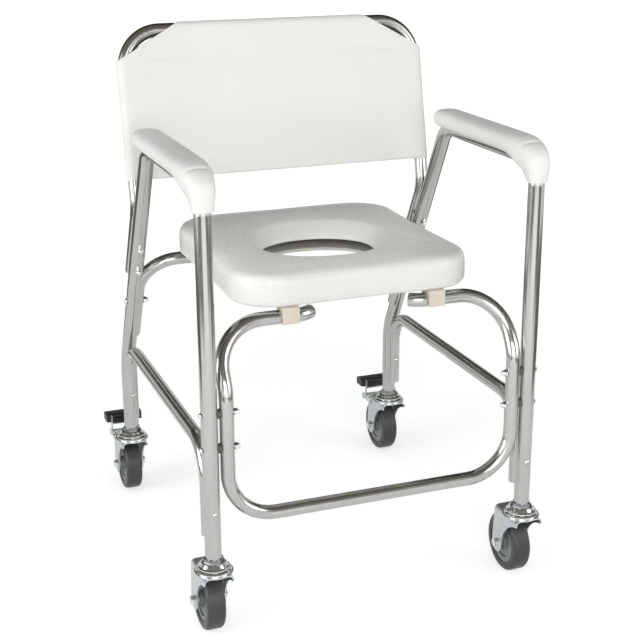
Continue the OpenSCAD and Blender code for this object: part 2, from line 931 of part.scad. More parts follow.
module tyre() {
    in_r = hub_d / 2 + contact;
    color("dimgray")
        at_wheel()
            rotate_extrude()
                difference() {
                    union() {
                        translate([in_r, -tyre_w / 2])
                            square([axle_z - tread_round - in_r, tyre_w]);
                        translate([in_r, tread_round - tyre_w / 2])
                            square([axle_z - in_r, tyre_w - 2 * tread_round]);
                        for (s = [-1, 1])
                            translate([axle_z - tread_round, s * (tyre_w / 2 - tread_round)])
                                circle(r = tread_round);
                    }
                    translate([0, -tyre_w])
                        square([in_r, 2 * tyre_w]);
                }
}

// Brake: two side plates, a shoe bar and a tray, turning on a pin through the fork
module lever_plate() {
    square([upright_back, 2 * brake_eye_r], center = true);
    circle(r = brake_eye_r);
    translate([0, -brake_eye_r])
        square([shoe_back, 2 * brake_eye_r - shoe_drop]);
    translate([shoe_back, -shoe_drop])
        circle(d = shoe_d + shoe_drop);
    translate([upright_back, -brake_eye_r])
        square([upright_w, brake_eye_r + pedal_rise + pedal_h]);
}

module brake_lever() {
    gap = fork_w / 2 + turn_gap;
    color("lightgray")
        translate([0, brake_pivot_y, brake_pivot_z])
            difference() {
                union() {
                    for (s = [0, 1])
                        mirror([s, 0, 0])
                            translate([gap, 0, 0])
                                rotate([90, 0, 90])
                                    linear_extrude(lever_t)
                                        difference() {
                                            lever_plate();
                                            translate([-upright_back, -upright_back])
                                                square([upright_back - brake_eye_r, 2 * upright_back]);
                                        }
                    translate([0, shoe_back, -shoe_drop])
                        along_x()
                            cylinder(d = shoe_d, h = 2 * gap, center = true);
                    translate([-gap - lever_t, upright_back, pedal_rise - tray_t])
                        cube([2 * (gap + lever_t), upright_w + foot_w, tray_t]);
                }
                along_x()
                    cylinder(d = brake_pin_d + 2 * running_fit, h = 3 * fork_w, center = true);
            }
}

module brake_pedal() {
    color("black")
        translate([-pedal_w / 2, pedal_front, brake_pivot_z + pedal_rise + contact])
            rotate([90, 0, 90])
                linear_extrude(pedal_w) {
                    square([pedal_l, pedal_h - pedal_round]);
                    translate([pedal_round, 0])
                        square([pedal_l - 2 * pedal_round, pedal_h]);
                    for (y = [pedal_round, pedal_l - pedal_round])
                        translate([y, pedal_h - pedal_round])
                            circle(r = pedal_round);
                }
}

module brake_pin() {
    half = fork_w / 2 + 2 * turn_gap + lever_t;
    color("gainsboro")
        translate([0, brake_pivot_y, brake_pivot_z])
            along_x() {
                cylinder(d = brake_pin_d, h = 2 * half, center = true);
                for (s = [0, 1])
                    mirror([0, 0, s])
                        translate([0, 0, half])
                            cylinder(d = brake_pin_head_d, h = brake_pin_head_h);
            }
}

// Seat outline: straight sides that draw in a little between round corners
function corner_centre(q, a, b, r) = [(q == 0 || q == 3 ? 1 : -1) * (a - r), (q < 2 ? 1 : -1) * (b - r)];
function corner_points(q, a, b, r) = [
    for (k = [0 : corner_steps])
        let (t = 90 * (q + k / corner_steps))
            corner_centre(q, a, b, r) + r * [cos(t), sin(t)]];
function side_points(from, to, q) = [
    for (k = [1 : side_steps])
        let (share = k / (side_steps + 1), t = 90 * (q + 1))
            mix(from, to, share) - side_draw * sin(180 * share) * [cos(t), sin(t)]];
function outline(inset) =
    let (a = seat_w / 2 - inset, b = seat_d / 2 - inset, r = seat_corner_r - inset)
        [for (q = [0 : 3])
            let (arc = corner_points(q, a, b, r), next = corner_points((q + 1) % 4, a, b, r)[0])
                each concat(arc, side_points(arc[corner_steps], next, q))];
function oval(grow) = [
    for (p = outline(0))
        let (t = atan2(p[1] / seat_d, p[0] / seat_w))
            [(hole_w / 2 + grow) * cos(t), (hole_d / 2 + grow) * sin(t)]];
function lift(points, z) = [for (p = points) [p[0], p[1], z]];
function blend(a, b, share) = [for (i = [0 : len(a) - 1]) mix(a[i], b[i], share)];

module seat_cushion() {
    recess = base_t + turn_gap;
    shoulder = len(cushion_inset_shares) - 1;
    flank = [for (i = [0 : shoulder])
        lift(outline(cushion_inset_shares[i] * seat_h), cushion_height_shares[i] * seat_h)];
    crown = [for (i = [0 : len(crown_blend_shares) - 1])
        lift(blend(outline(cushion_inset_shares[shoulder] * seat_h), oval(dish_w), crown_blend_shares[i]),
            crown_height_shares[i] * seat_h)];
    dish = [for (i = [0 : len(dish_reach_shares) - 1])
        lift(oval(dish_reach_shares[i] * dish_w), dish_height_shares[i] * seat_h)];
    under = [lift(oval(0), 0), lift(oval(base_rim), 0), lift(oval(base_rim), recess),
        lift(outline(base_inset), recess), lift(outline(base_inset), 0)];
    rings = concat(flank, crown, dish, under);
    color("white")
        translate([0, seat_y, seat_under])
            polyhedron([for (r = rings) each r], ring_faces(len(rings), len(rings[0]), true));
}

// Board with the seat's plan and an oval cut-out
module seat_base() {
    inset = base_inset + turn_gap;
    a = seat_w / 2 - inset - side_draw;
    b = seat_d / 2 - inset - side_draw;
    r = seat_corner_r - inset;
    rim = base_rim + turn_gap;
    color("beige")
        translate([0, seat_y, seat_under])
            difference() {
                linear_extrude(base_t)
                    difference() {
                        union() {
                            square([2 * a, 2 * (b - r)], center = true);
                            square([2 * (a - r), 2 * b], center = true);
                            for (x = [-1, 1], y = [-1, 1])
                                translate([x * (a - r), y * (b - r)])
                                    circle(r = r);
                        }
                        polygon(oval(rim));
                    }
                translate([0, -seat_y, -seat_under])
                    clip_screw_places()
                        cylinder(d = screw_d + 2 * hole_fit, h = 2 * screw_bite, center = true);
            }
}

// Clips: a saddle over the front bar and a hook round the rear bar
module clip_body(leg) {
    out = bar_r + clip_wall;
    translate([-out, -leg])
        square([2 * out, leg + bar_r + clip_floor]);
}

module clip_flange(toward) {
    out = bar_r + clip_wall;
    translate([toward > 0 ? out - overrun : -out - clip_flange_l + overrun,
        bar_r + clip_floor - clip_flange_t])
        square([clip_flange_l, clip_flange_t]);
}

module clip_screw_places() {
    reach = bar_r + clip_wall + clip_flange_l / 2;
    for (s = [-1, 1]) {
        translate([s * front_clip_x, front_bar_y + reach, seat_under])
            children();
        translate([s * rear_clip_x, rear_bar_y - reach, seat_under])
            children();
    }
}

module clip_at(x, y) {
    translate([x - clip_l / 2, y, seat_bar_z])
        rotate([90, 0, 90])
            linear_extrude(clip_l)
                children();
}

module drilled_for_screws() {
    difference() {
        children();
        clip_screw_places()
            cylinder(d = screw_d + 2 * hole_fit, h = 4 * clip_flange_t, center = true);
    }
}

module front_seat_clips() {
    open_r = bar_r + turn_gap;
    color("wheat")
        drilled_for_screws()
            for (s = [-1, 1])
                clip_at(s * front_clip_x, front_bar_y)
                    difference() {
                        union() {
                            clip_body(clip_leg);
                            clip_flange(1);
                        }
                        circle(r = open_r);
                        translate([-open_r - turn_gap, -2 * bar_r])
                            square([2 * open_r + turn_gap, 2 * bar_r]);
                    }
}

module rear_seat_clips() {
    color("wheat")
        drilled_for_screws()
            for (s = [-1, 1])
                clip_at(s * rear_clip_x, rear_bar_y)
                    difference() {
                        union() {
                            clip_body(0);
                            circle(r = bar_r + clip_wall);
                            clip_flange(-1);
                        }
                        circle(r = bar_r + running_fit);
                        translate([-bar_r + clip_hook_wrap / 2, -2 * bar_r])
                            square([bar_d - clip_hook_wrap, 2 * bar_r]);
                    }
}

module clip_screws() {
    color("gainsboro")
        clip_screw_places()
            translate([0, 0, -clip_flange_t])
                bolt(screw_d, screw_head_d, screw_head_h, clip_flange_t + screw_bite - overrun);
}

module front_left() { translate([-leg_x, front_y, 0]) children(); }
module front_right() { translate([leg_x, front_y, 0]) children(); }
module rear_left() { translate([-leg_x, rear_y, 0]) children(); }
module rear_right() { translate([leg_x, rear_y, 0]) children(); }

side_frame(-1);  // left_side_frame
side_frame(1);  // right_side_frame
stretcher(-1);  // left_stretcher
stretcher(1);  // right_stretcher
front_loop();
rear_seat_arch();
back_frame();
back_cover();
arm_pad(-1);  // left_arm_pad
arm_pad(1);  // right_arm_pad
loop_bolts();
loop_acorn_nuts();
loop_spacers();
arch_bolts();
arch_acorn_nuts();
back_bolts();
back_acorn_nuts();
back_saddles();
stretcher_rivets();
stem_sockets();
caster_stems();
swivel_caps();
swivel_balls();
seat_cushion();
seat_base();
front_seat_clips();
rear_seat_clips();
clip_screws();
front_left() fork();  // front_left_fork
front_left() raceway();  // front_left_raceway
front_left() axle();  // front_left_axle
front_left() bush();  // front_left_bush
front_left() hub();  // front_left_hub
front_left() tyre();  // front_left_tyre
front_right() fork();  // front_right_fork
front_right() raceway();  // front_right_raceway
front_right() axle();  // front_right_axle
front_right() bush();  // front_right_bush
front_right() hub();  // front_right_hub
front_right() tyre();  // front_right_tyre
rear_left() braked_fork();  // rear_left_fork
rear_left() raceway();  // rear_left_raceway
rear_left() axle();  // rear_left_axle
rear_left() bush();  // rear_left_bush
rear_left() hub();  // rear_left_hub
rear_left() tyre();  // rear_left_tyre
rear_right() braked_fork();  // rear_right_fork
rear_right() raceway();  // rear_right_raceway
rear_right() axle();  // rear_right_axle
rear_right() bush();  // rear_right_bush
rear_right() hub();  // rear_right_hub
rear_right() tyre();  // rear_right_tyre
rear_left() brake_lever();  // left_brake_lever
rear_left() brake_pedal();  // left_brake_pedal
rear_left() brake_pin();  // left_brake_pin
rear_right() brake_lever();  // right_brake_lever
rear_right() brake_pedal();  // right_brake_pedal
rear_right() brake_pin();  // right_brake_pin
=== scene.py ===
import json
import math

import bmesh
import bpy
from mathutils import Matrix, Vector
from mathutils.bvhtree import BVHTree


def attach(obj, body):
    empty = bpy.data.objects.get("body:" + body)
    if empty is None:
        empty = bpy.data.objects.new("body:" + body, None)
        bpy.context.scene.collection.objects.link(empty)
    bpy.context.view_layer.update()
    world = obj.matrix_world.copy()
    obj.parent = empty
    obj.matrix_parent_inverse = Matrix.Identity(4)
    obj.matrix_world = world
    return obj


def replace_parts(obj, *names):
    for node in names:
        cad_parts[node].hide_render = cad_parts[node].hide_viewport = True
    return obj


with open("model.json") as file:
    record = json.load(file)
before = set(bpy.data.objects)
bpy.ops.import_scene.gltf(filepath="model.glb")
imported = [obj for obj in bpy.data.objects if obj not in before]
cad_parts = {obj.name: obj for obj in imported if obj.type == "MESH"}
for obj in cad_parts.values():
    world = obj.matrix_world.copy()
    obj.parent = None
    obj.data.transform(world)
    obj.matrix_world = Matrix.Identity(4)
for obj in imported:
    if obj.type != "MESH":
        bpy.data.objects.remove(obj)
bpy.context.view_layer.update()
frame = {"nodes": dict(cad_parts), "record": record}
NODES = frame["nodes"]
MM = 0.001

# Sizes of the solids that the scene's own pieces stand for, in millimetres
LEG_X = 265.0
FRONT_Y = -303.15
ARM_Z = 710.0
ARM_BEND_R = 38.0
ARM_REAR_Y = 12.9
SEAT_Y = -50.99
SEAT_Z = 507.0
SEAT_W, SEAT_D, SEAT_H = 398.0, 422.0, 53.0
SEAT_CORNER = 75.0
SIDE_DRAW = 2.5
HOLE_W, HOLE_D = 190.0, 154.0
BASE_RIM, BASE_INSET = 7.0, 14.0
BACK_TOP = Vector((0, 170.904, 878.0))
RECLINE = math.radians(12.5)
COVER_R = 12.3
COVER_LEN = 248.0
CUT_W, CUT_H, CUT_TOP = 112.0, 50.0, 12.9
LOOP_X, LOOP_LOW, LOOP_CORNER_R, LOOP_BACK_R = 238.2, 196.0, 75.0, 60.0
LOOP_LEAN = math.radians(32)
LOOP_BEND_Z = 386.1
SEAT_BAR_Y, SEAT_BAR_Z = -248.99, 490.0
BAR_R, BAR_WALL = 11.1, 1.6


# Small helpers
def mix(a, b, t):
    return a + (b - a) * t


def smooth(t):
    t = min(1.0, max(0.0, t))
    return t * t * (3 - 2 * t)


def bell(t):
    return math.exp(-t ** 2)


def spline(values, steps):
    """A smooth curve through lists of numbers, with this many steps between them."""
    out = []
    last = len(values) - 1
    for i in range(last):
        p0, p1, p2, p3 = (values[min(last, max(0, i + k))] for k in (-1, 0, 1, 2))
        for j in range(steps):
            t = j / steps
            out.append([
                0.5 * (2 * b + (c - a) * t + (2 * a - 5 * b + 4 * c - d) * t * t
                       + (3 * b - a - 3 * c + d) * t ** 3)
                for a, b, c, d in zip(p0, p1, p2, p3)])
    out.append(list(values[last]))
    return out


def add_object(name, data):
    obj = bpy.data.objects.new(name, data)
    bpy.context.scene.collection.objects.link(obj)
    return obj


def new_mesh(name, points, faces):
    """A mesh object from points in millimetres."""
    mesh = bpy.data.meshes.new(name)
    mesh.from_pydata([tuple(c * MM for c in p) for p in points], [], faces)
    mesh.validate()
    return add_object(name, mesh)


def tidy_normals(obj):
    bm = bmesh.new()
    bm.from_mesh(obj.data)
    bmesh.ops.remove_doubles(bm, verts=bm.verts, dist=1e-5)
    bmesh.ops.recalc_face_normals(bm, faces=bm.faces)
    for f in bm.faces:
        f.smooth = True
    bm.to_mesh(obj.data)
    bm.free()
    obj.data.update()


def apply_modifiers(obj):
    graph = bpy.context.evaluated_depsgraph_get()
    made = bpy.data.meshes.new_from_object(obj.evaluated_get(graph))
    old = obj.data
    obj.modifiers.clear()
    obj.data = made
    made.name = old.name
    bpy.data.meshes.remove(old)
    for p in made.polygons:
        p.use_smooth = True


def rings_mesh(name, rings, closed_ends=False, closed_rings=False):
    """A skin over rings of points, capped at its ends or joined into a ring itself."""
    n = len(rings[0])
    points = [p for r in rings for p in r]
    faces = []
    turns = len(rings) if closed_rings else len(rings) - 1
    for i in range(turns):
        k = (i + 1) % len(rings)
        for j in range(n):
            m = (j + 1) % n
            faces.append((i * n + j, i * n + m, k * n + m, k * n + j))
    if closed_ends:
        faces.append(tuple(range(n - 1, -1, -1)))
        faces.append(tuple((len(rings) - 1) * n + j for j in range(n)))
    return new_mesh(name, points, faces)


# Materials
def material(name, colour, rough, metal=0.0, **extra):
    m = bpy.data.materials.new(name)
    m.use_nodes = True
    m.diffuse_color = (*colour, 1)
    shader = m.node_tree.nodes["Principled BSDF"]
    shader.inputs["Metallic"].default_value = metal
    shader.inputs["Base Color"].default_value = (*colour, 1)
    shader.inputs["Roughness"].default_value = rough
    for key, value in extra.items():
        shader.inputs[key.replace("_", " ").title()].default_value = value
    return m


def shaded(colour, share):
    """A colour with each channel scaled by one share, or by its own."""
    shares = share if isinstance(share, tuple) else (share,) * 3
    return tuple(c * k for c, k in zip(colour, shares))


def feed(tree, socket, value):
    """Gives a socket a link from another, or a plain value."""
    if isinstance(value, bpy.types.NodeSocket):
        tree.links.new(value, socket)
    else:
        socket.default_value = value


class Graph:
    """Adds nodes to a material, each linked from what it is given."""

    def __init__(self, m):
        self.tree = m.node_tree
        self.shader = m.node_tree.nodes["Principled BSDF"]
        self.coord = self.tree.nodes.new("ShaderNodeTexCoord").outputs["Object"]

    def add(self, kind, inputs=None, **settings):
        node = self.tree.nodes.new(kind)
        for k, v in settings.items():
            setattr(node, k, v)
        for k, v in (inputs or {}).items():
            feed(self.tree, node.inputs[k], v)
        return node

    def stretched(self, scale):
        return self.add("ShaderNodeMapping", {"Vector": self.coord, "Scale": scale}).outputs["Vector"]

    def noise(self, scale, detail, vector=None):
        node = self.add("ShaderNodeTexNoise", {"Vector": vector or self.coord, "Scale": scale,
                                               "Detail": detail, "Roughness": 0.5})
        return node.outputs["Fac"]

    def cells(self, scale):
        node = self.add("ShaderNodeTexVoronoi", {"Vector": self.coord, "Scale": scale})
        return node.outputs["Distance"]

    def spread(self, value, low, high, frm=0.3, to=0.7):
        node = self.add("ShaderNodeMapRange", {"Value": value, "From Min": frm, "From Max": to,
                                               "To Min": low, "To Max": high})
        return node.outputs["Result"]

    def tint(self, value, a, b):
        node = self.add("ShaderNodeMix", {"Factor": value}, data_type="RGBA")
        node.inputs[6].default_value = (*a, 1)
        node.inputs[7].default_value = (*b, 1)
        return node.outputs[2]

    def join(self, a, b, how="ADD"):
        return math_node(self.tree, how, a, b)

    def blend(self, a, b, share):
        """Two values added, the second at this share and the first at the rest."""
        return self.join(self.join(a, 1 - share, "MULTIPLY"), self.join(b, share, "MULTIPLY"))

    def to(self, socket, value):
        self.tree.links.new(value, self.shader.inputs[socket])

    def bump(self, height, distance):
        node = self.add("ShaderNodeBump", {"Height": height, "Distance": distance, "Strength": 1.0})
        self.to("Normal", node.outputs["Normal"])


def math_node(tree, how, *values):
    node = tree.nodes.new("ShaderNodeMath")
    node.operation = how
    for socket, v in zip(node.inputs, values):
        feed(tree, socket, v)
    return node.outputs["Value"]


def metal_material(name, colour, rough, spread, grain, lines=None, bump=0.00002):
    """Plated or polished metal: clouds and fine grain in its colour and gloss, or drawn lines."""
    m = material(name, colour, rough, 1.0)
    g = Graph(m)
    cloud = g.noise(9.0, 3.0)
    fine = g.noise(grain, 2.0, g.stretched(lines) if lines else None)
    both = g.blend(cloud, fine, 0.6)
    g.to("Roughness", g.spread(both, rough - spread, rough + spread, 0.35, 0.65))
    g.to("Base Color", g.tint(g.spread(both, 0.0, 1.0, 0.35, 0.65), shaded(colour, 0.9), colour))
    g.bump(fine, bump)
    return m


def plastic_material(name, colour, rough, grain, bump):
    m = material(name, colour, rough)
    g = Graph(m)
    cloud = g.noise(14.0, 3.0)
    fine = g.noise(grain, 3.0)
    g.to("Base Color", g.tint(g.spread(cloud, 0.0, 1.0), shaded(colour, 0.88), colour))
    g.to("Roughness", g.spread(fine, rough - 0.05, rough + 0.07))
    g.bump(fine, bump)
    return m


def skin_material(name, colour, rough, cell, bump):
    """A coated skin with a fine pebbled grain, and faint clouds of colour."""
    m = material(name, colour, rough)
    g = Graph(m)
    cloud = g.noise(7.0, 4.0)
    pebble = g.spread(g.cells(cell), 0.0, 1.0, 0.0, 0.75)
    soft = g.noise(cell * 0.35, 3.0)
    height = g.blend(pebble, soft, 0.4)
    warm = shaded(colour, (0.965, 0.955, 0.935))
    g.to("Base Color", g.tint(g.spread(cloud, 0.0, 1.0), warm, colour))
    g.to("Roughness", g.spread(height, rough + 0.06, rough - 0.06, 0.1, 0.8))
    g.bump(height, bump)
    return m


def cloth_material(name, colour, rough, threads, bump, **extra):
    """A tight plain weave: two sets of waves across each other, with faint slubs."""
    m = material(name, colour, rough, **extra)
    g = Graph(m)
    weave = []
    for axis in ("X", "Z"):
        wave = g.add("ShaderNodeTexWave", {"Vector": g.coord, "Scale": threads, "Distortion": 0.6,
                                           "Detail": 1.0, "Detail Scale": 2.0}, bands_direction=axis)
        weave.append(wave.outputs["Fac"])
    both = g.join(weave[0], weave[1], "MULTIPLY")
    slub = g.noise(60.0, 3.0, g.stretched((1.0, 1.0, 6.0)))
    height = g.join(both, g.join(slub, 0.6, "MULTIPLY"))
    cloud = g.noise(5.0, 4.0)
    warm = shaded(colour, (0.975, 0.965, 0.945))
    g.to("Base Color", g.tint(g.spread(cloud, 0.0, 1.0), warm, colour))
    g.to("Roughness", g.spread(height, rough - 0.06, rough + 0.06, 0.2, 1.2))
    g.bump(height, bump)
    return m


tube = metal_material("polished_tube", (0.59, 0.59, 0.575), 0.17, 0.05, 60.0, (14.0, 14.0, 0.35), 0.00003)
cushion_skin = skin_material("cushion_skin", (0.80, 0.80, 0.785), 0.32, 560.0, 0.00009)
pad_skin = skin_material("pad_skin", (0.83, 0.83, 0.82), 0.48, 400.0, 0.0008)
cover_cloth = cloth_material("cover_cloth", (0.83, 0.825, 0.795), 0.62, 520.0, 0.00008, sheen_weight=0.08)
thread = cloth_material("thread", (0.76, 0.755, 0.73), 0.7, 900.0, 0.00005)

# The record's material slots and what each looks like
LOOKS = {
    "tube": tube,
    "bright_steel": metal_material("bright_plating", (0.88, 0.89, 0.9), 0.1, 0.04, 220.0),
    "zinc_steel": metal_material("zinc_plating", (0.67, 0.705, 0.72), 0.33, 0.08, 160.0, bump=0.00004),
    "dark_steel": metal_material("dark_plating", (0.30, 0.31, 0.32), 0.28, 0.08, 180.0),
    "tyre_rubber": plastic_material("tyre_rubber", (0.047, 0.047, 0.044), 0.36, 500.0, 0.00006),
    "hub_plastic": plastic_material("hub_plastic", (0.23, 0.25, 0.25), 0.42, 380.0, 0.00005),
    "pedal_plastic": plastic_material("pedal_plastic", (0.012, 0.012, 0.012), 0.36, 420.0, 0.00008),
    "clip_plastic": plastic_material("clip_plastic", (0.68, 0.63, 0.53), 0.48, 300.0, 0.00005),
    "saddle_plastic": plastic_material("saddle_plastic", (0.09, 0.09, 0.088), 0.5, 300.0, 0.00005),
    "nylon": plastic_material("nylon", (0.72, 0.72, 0.69), 0.45, 300.0, 0.00005),
    "board": plastic_material("board", (0.68, 0.66, 0.6), 0.6, 120.0, 0.00012),
    "cover": cover_cloth,
    "cushion": cushion_skin,
    "arm_pad": pad_skin}


def paint(obj, look):
    obj.data.materials.clear()
    obj.data.materials.append(look)


for part in frame["record"]["subparts"]:
    paint(NODES[part["node"]], LOOKS[part["material_slot"]])


# Seat cushion: the outline drawn in between its corners, crowned and rounded into the opening
CORNER_STEPS, SIDE_STEPS = 12, 14
# How much further forward the skin's opening reaches than the solid's
HOLE_FRONT = 6.0
# How wide the slope round the opening is on each side
DISH_SIDE, DISH_REAR, DISH_FRONT = 27.0, 33.0, 50.0
# The opening's lip stands above the board, with a hollow behind it
LIP_LIFT, LIP_T = 21.0, 5.0
SHOULDER_SHARE = 0.42


def seat_outline(inset):
    a, b, r = SEAT_W / 2 - inset, SEAT_D / 2 - inset, max(1.0, SEAT_CORNER - inset)

    def corner(p, k):
        sx, sy = (1 if p in (0, 3) else -1), (1 if p < 2 else -1)
        t = math.radians(90 * (p + k / CORNER_STEPS))
        return Vector((sx * (a - r) + r * math.cos(t), sy * (b - r) + r * math.sin(t)))

    points = []
    for q in range(4):
        points += [corner(q, k) for k in range(CORNER_STEPS + 1)]
        start, stop = corner(q, CORNER_STEPS), corner((q + 1) % 4, 0)
        out = math.radians(90 * (q + 1))
        for k in range(1, SIDE_STEPS + 1):
            t = k / (SIDE_STEPS + 1)
            pull = SIDE_DRAW * math.sin(math.pi * t)
            points.append(mix(start, stop, t) - pull * Vector((math.cos(out), math.sin(out))))
    return points


SEAT_PLAN = seat_outline(0)


def hole_outline(grow, dish=0.0):
    """The opening's outline, grown by a length and by a share of the slope round it."""
    points = []
    for p in SEAT_PLAN:
        t = math.atan2(p.y / SEAT_D, p.x / SEAT_W)
        width = mix(DISH_SIDE, DISH_REAR if t > 0 else DISH_FRONT, smooth(abs(math.sin(t))))
        out = grow + dish * width
        deep = HOLE_D / 2 + (HOLE_FRONT if t < 0 else 0.0)
        points.append(Vector(((HOLE_W / 2 + out) * math.cos(t), (deep + out) * math.sin(t))))
    return points


def seat_ring(kind, reach, z):
    """One ring of the cushion, on its outer wall, its crown, its slope or its opening."""
    if kind == "wall":
        plan = seat_outline(reach)
    elif kind == "hole":
        plan = hole_outline(reach)
    elif kind == "dish":
        plan = hole_outline(0.0, reach)
    else:
        shoulder, rim = seat_outline(SHOULDER_SHARE * SEAT_H), hole_outline(0.0, 1.0)
        plan = [mix(a, b, reach) for a, b in zip(shoulder, rim)]
    return [(p.x, SEAT_Y + p.y, SEAT_Z + z) for p in plan]


# The wall's rows: how far in and how high, both as shares of the seat's height
WALL = [(0.075, 0.0), (0.02, 0.09), (0.0, 0.26), (0.0, 0.48), (0.006, 0.66), (0.034, 0.79),
        (0.10, 0.888), (0.21, 0.95), (SHOULDER_SHARE, 0.984)]
# The crown's rows: how far from the shoulder to the slope, and how high
CROWN = [(0.0, 0.984), (0.2, 0.995), (0.42, 1.0), (0.64, 1.0), (0.84, 0.996)]
# The slope's rows: how far out from the opening, as a share of the slope's width, and how high
SLOPE = [(1.0, 0.978), (0.85, 0.95), (0.7, 0.908), (0.55, 0.855), (0.4, 0.79), (0.26, 0.715),
         (0.14, 0.64), (0.05, 0.56), (0.0, 0.49)]


def make_seat(shrink):
    rings = [seat_ring("wall", i * SEAT_H + shrink, z * SEAT_H) for i, z in spline(WALL, 4)]
    rings += [seat_ring("crown", k, z * SEAT_H - shrink) for k, z in spline(CROWN, 4)[2:]]
    rings += [seat_ring("dish", k + shrink / DISH_SIDE, z * SEAT_H - shrink * max(0.0, k))
              for k, z in spline(SLOPE, 3)]
    recess = LIP_LIFT + LIP_T
    rings += [seat_ring("hole", 0.0, LIP_LIFT), seat_ring("hole", BASE_RIM, LIP_LIFT),
              seat_ring("hole", BASE_RIM, recess), seat_ring("wall", BASE_INSET, recess),
              seat_ring("wall", BASE_INSET, 0.0)]
    obj = rings_mesh("seat_cushion_skin", rings, closed_rings=True)
    tidy_normals(obj)
    return obj


# The skin starts a little smaller and swells; a point moves by the cap at most, in metres
SEAT_SHRINK = 1.6
SWELL_FRAMES, SWELL_PRESSURE, SWELL_CAP = 20, 4.0, 0.005
RELAX_ROUNDS = 2
# What stays still: the lowest band of the skin, its undersides, and the opening's lip
STILL_BAND, STILL_EDGE, STILL_FACING = 9.0, 8.0, -0.4


def seat_still(co, normal):
    x, y, z = co.x / MM, co.y / MM - SEAT_Y, co.z / MM - SEAT_Z
    inside = abs(x) < SEAT_W / 2 - STILL_EDGE and abs(y) < SEAT_D / 2 - STILL_EDGE
    return z < STILL_BAND or normal.z < STILL_FACING or (inside and z < LIP_LIFT + STILL_BAND)


def swell(obj, pinned):
    """Lets a padded piece's skin swell under pressure, and keeps the pinned part still."""
    start = [v.co.copy() for v in obj.data.vertices]
    group = obj.vertex_groups.new(name="still")
    for v in obj.data.vertices:
        if pinned(v.co, v.normal):
            group.add([v.index], 1.0, "REPLACE")
    cloth = obj.modifiers.new("skin", "CLOTH")
    s = cloth.settings
    s.quality = 5
    s.mass = 0.3
    s.tension_stiffness = s.compression_stiffness = 20.0
    s.shear_stiffness = 10.0
    s.bending_stiffness = 6.0
    s.vertex_group_mass = "still"
    s.use_pressure = True
    s.uniform_pressure_force = SWELL_PRESSURE
    s.effector_weights.gravity = 0.0
    scene = bpy.context.scene
    for f in range(1, SWELL_FRAMES + 1):
        scene.frame_set(f)
    apply_modifiers(obj)
    scene.frame_set(1)
    for v, a in zip(obj.data.vertices, start):
        move = v.co - a
        if move.length > SWELL_CAP:
            v.co = a + move * (SWELL_CAP / move.length)
    obj.vertex_groups.clear()


def relax(obj, pinned):
    """Smooths the free part of a skin, as taut upholstery is."""
    bm = bmesh.new()
    bm.from_mesh(obj.data)
    verts = [v for v in bm.verts if not pinned(v.co, v.normal)]
    for _ in range(RELAX_ROUNDS):
        bmesh.ops.smooth_vert(bm, verts=verts, factor=0.5, use_axis_x=True, use_axis_y=True, use_axis_z=True)
    bm.to_mesh(obj.data)
    bm.free()


def subdivide(obj):
    mod = obj.modifiers.new("fine", "SUBSURF")
    mod.levels = mod.render_levels = 1
    apply_modifiers(obj)


seat = make_seat(SEAT_SHRINK)
swell(seat, seat_still)
relax(seat, seat_still)
subdivide(seat)
paint(seat, cushion_skin)
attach(seat, "seat")
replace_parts(seat, "seat_cushion")

# Two fine welts near the seat's lower edge: radius in metres, sides, and how much of the radius is sunk
WELT_R, WELT_SIDES, WELT_SUNK = 0.0011, 8, 0.35
WELT_HEIGHTS = {"seat_welt_upper": 8.0, "seat_welt_lower": 4.6}
# The rays that find the seat's wall run between these shares of its outline
RAY_FROM, RAY_TO = 1.12, 0.6


def closed_cord(name, path, radius, sides):
    """A thin round cord through a level ring of points in metres."""
    n = len(path)
    rings = []
    for i, p in enumerate(path):
        along = (path[(i + 1) % n] - path[i - 1]).normalized()
        side = along.cross(Vector((0, 0, 1))).normalized()
        up = side.cross(along)
        rings.append([(p + radius * (math.cos(a) * side + math.sin(a) * up)) / MM
                      for a in (2 * math.pi * k / sides for k in range(sides))])
    obj = rings_mesh(name, rings, closed_rings=True)
    tidy_normals(obj)
    return obj


def surface_of(obj):
    return BVHTree.FromPolygons([v.co.copy() for v in obj.data.vertices],
                                [tuple(p.vertices) for p in obj.data.polygons])


def welt_path(surface, height):
    """Points on the seat's wall at one height, where rays from outside meet it."""
    path = []
    for p in SEAT_PLAN:
        outside, inside = (Vector((p.x * share, p.y * share + SEAT_Y, SEAT_Z + height)) * MM
                           for share in (RAY_FROM, RAY_TO))
        inward = (inside - outside).normalized()
        hit = surface.ray_cast(outside, inward)[0]
        path.append(hit + inward * WELT_R * WELT_SUNK if hit else outside)
    return path


seat_surface = surface_of(seat)
for name, height in WELT_HEIGHTS.items():
    welt = closed_cord(name, welt_path(seat_surface, height), WELT_R, WELT_SIDES)
    paint(welt, cushion_skin)
    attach(welt, "seat")


# Back cover: a sleeve of cloth over the top tube, open below, with its top corners cut away
COVER_EDGE = LEG_X + COVER_R
# The cloth's thickness in metres, its rows up each side and over the top, and its columns in each half
COVER_T = 0.0011
LOW_ROWS, CUT_ROWS, BEND_ROWS = 44, 14, 16
FLAT_COLUMNS, EDGE_COLUMNS = 34, 10
# The panel's belly: its depth, the drop over which it starts, and where and by what share it eases below
BELLY, BELLY_START = 3.4, 60.0
EASE_FROM, EASE_SPAN, EASE_SHARE = 150.0, 100.0, 0.35
# A faint wave: its depth, its radians to each millimetre across and up, and the turns that it starts from
WAVE, WAVE_ACROSS, WAVE_UP = 0.5, 0.021, 0.031
WAVE_SIDE, WAVE_START = 0.9, 0.4
# Folds that fan from each cut corner: direction and width in degrees, depth and reach
FOLDS = [(4, 6, 2.2, 230), (-9, 7, -1.4, 190), (-26, 9, 1.1, 150)]
FOLD_START, FOLD_IN = 50.0, 12.0
# The cloth lies flat near the side tubes, and its back folds less than its front
FLAT_EDGE, FLAT_SPAN = 6.0, 40.0
BACK_FOLD_SHARE = 0.7


